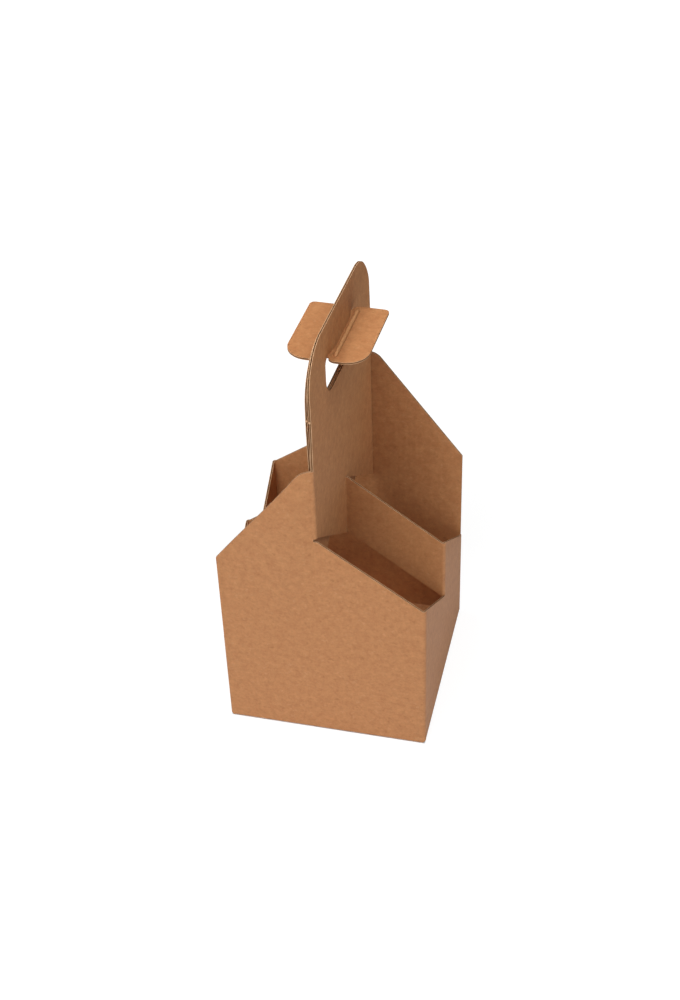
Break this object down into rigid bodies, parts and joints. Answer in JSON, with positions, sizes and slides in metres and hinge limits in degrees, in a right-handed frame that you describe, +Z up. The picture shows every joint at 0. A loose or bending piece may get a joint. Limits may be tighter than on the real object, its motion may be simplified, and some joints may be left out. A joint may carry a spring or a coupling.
{
  "type": "beer carrier box",
  "caption": "Open-topped bottle carrier folded from brown corrugated board, with a saw-tooth rim, slanted dividers and a tall centre handle whose hand hole has fold-out flaps.",
  "frame": {"origin": "middle of the base, on the surface that the carrier stands on", "axes": "+X to the right along the front panel, +Y from the front panel to the back panel, +Z up"},
  "size_m": [0.13, 0.13, 0.2855],
  "materials": {
    "kraft_board": "matt uncoated brown kraft liner"
  },
  "bodies": {
    "sheet": {"carrier": "kraft_board"},
    "right_flap": {"hand_flap_right": "kraft_board"},
    "left_flap": {"hand_flap_left": "kraft_board"}
  },
  "joints": [
    {"name": "right_flap_crease", "type": "hinge", "parent": "sheet", "child": "right_flap", "pos_m": [0.0017, -0.00006, 0.264], "axis": [-0.0349, -0.9994, 0], "range_deg": [-90, 45]},
    {"name": "left_flap_crease", "type": "hinge", "parent": "sheet", "child": "left_flap", "pos_m": [-0.0017, 0.00006, 0.264], "axis": [0.0349, 0.9994, 0], "range_deg": [-90, 45]}
  ]
}
